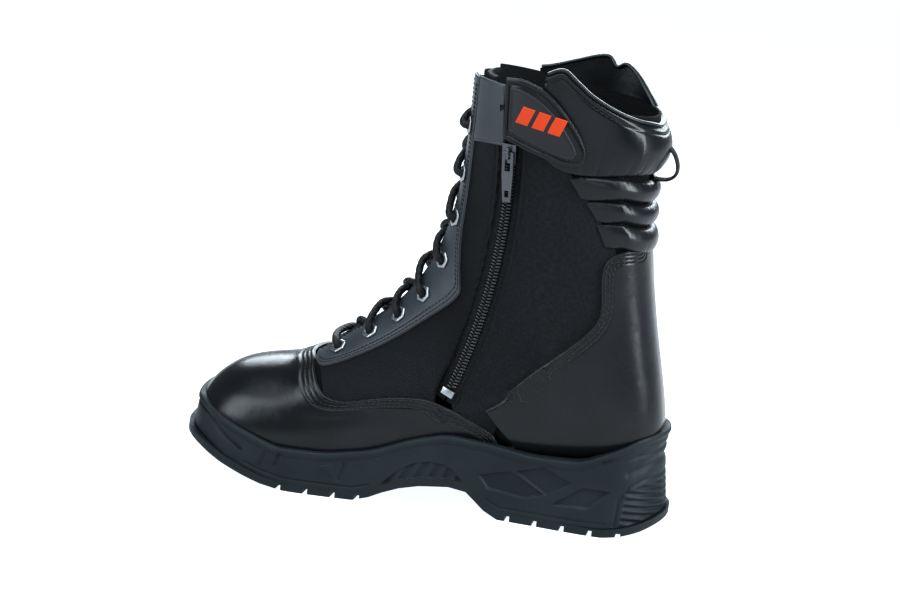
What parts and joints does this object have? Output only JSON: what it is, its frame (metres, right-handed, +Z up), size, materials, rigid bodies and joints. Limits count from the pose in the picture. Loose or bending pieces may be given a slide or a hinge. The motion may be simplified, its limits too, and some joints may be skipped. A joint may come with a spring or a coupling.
{
  "type": "fire boot",
  "caption": "Right-foot lace-up leather fire boot with an inner-side zip, a hook-and-loop zip flap, padded collar and lugged sole.",
  "frame": {"origin": "centre of the sole's outline on the ground", "axes": "+X to the toe, +Y to the inner (medial) side, +Z up"},
  "size_m": [0.3099, 0.1175, 0.2834],
  "materials": {
    "sole_rubber": "matte, fine grain",
    "black_leather": "glossy",
    "facing_leather": "satin",
    "ribbed_nylon": "woven, ribbed",
    "nylon": "woven twill",
    "lining_fabric": "brushed knit",
    "board": "matte",
    "steel": "brushed",
    "gunmetal": "satin gunmetal",
    "webbing": "woven tape",
    "coil_plastic": "satin",
    "lace_cord": "braided",
    "tip_plastic": "gloss",
    "hook_and_loop": "hook and loop",
    "flap_fabric": "woven, matte",
    "badge_rubber": "satin rubber, orange bars"
  },
  "bodies": {
    "boot": {"midsole_cup": "sole_rubber", "outsole_tread": "sole_rubber", "vamp": "black_leather", "toe_cap": "board", "insole_board": "board", "shank": "steel", "footbed": "lining_fabric", "heel_quarter": "black_leather", "heel_stiffener": "board", "toe_lining": "lining_fabric", "forefoot_lining_medial": "lining_fabric", "forefoot_lining_lateral": "lining_fabric", "front_panel_medial": "ribbed_nylon", "rear_panel_medial": "nylon", "quarter_lateral": "nylon", "shaft_lining_front": "lining_fabric", "shaft_lining_rear": "lining_fabric", "collar": "black_leather", "rim_binding": "webbing", "achilles_roll_1": "black_leather", "achilles_roll_2": "black_leather", "achilles_roll_3": "black_leather", "pull_strap": "webbing", "tongue": "lining_fabric", "eyestay_medial": "facing_leather", "eyelets_medial": "gunmetal", "front_cuff_medial": "facing_leather", "eyestay_lateral": "facing_leather", "eyelets_lateral": "gunmetal", "front_cuff_lateral": "facing_leather", "lace": "lace_cord", "lace_tips": "tip_plastic", "zip_tape_front": "webbing", "zip_coil_front": "coil_plastic", "zip_tape_rear": "webbing", "zip_coil_rear": "coil_plastic", "zip_stops": "gunmetal", "zip_guard": "lining_fabric", "loop_pad": "hook_and_loop"},
    "slider": {"zip_slider": "gunmetal"},
    "puller": {"zip_puller": "gunmetal"},
    "flap": {"zip_flap": "flap_fabric", "flap_badge": "badge_rubber", "hook_pad": "hook_and_loop"}
  },
  "joints": [
    {"name": "zip_travel", "type": "hinge", "parent": "boot", "child": "slider", "pos_m": [0.26594, 0.20875, 0.19004], "axis": [0.4896, -0.8653, 0.1074], "range_deg": [0, 23.97]},
    {"name": "puller_swing", "type": "hinge", "parent": "slider", "child": "puller", "pos_m": [-0.03963, 0.04349, 0.22582], "axis": [0.9752, -0.2213, -0.0051], "range_deg": [0, 90]},
    {"name": "flap_open", "type": "hinge", "parent": "boot", "child": "flap", "pos_m": [-0.03421, 0.04489, 0.26954], "axis": [-0.0591, -0.025, -0.9979], "range_deg": [0, 150]}
  ]
}
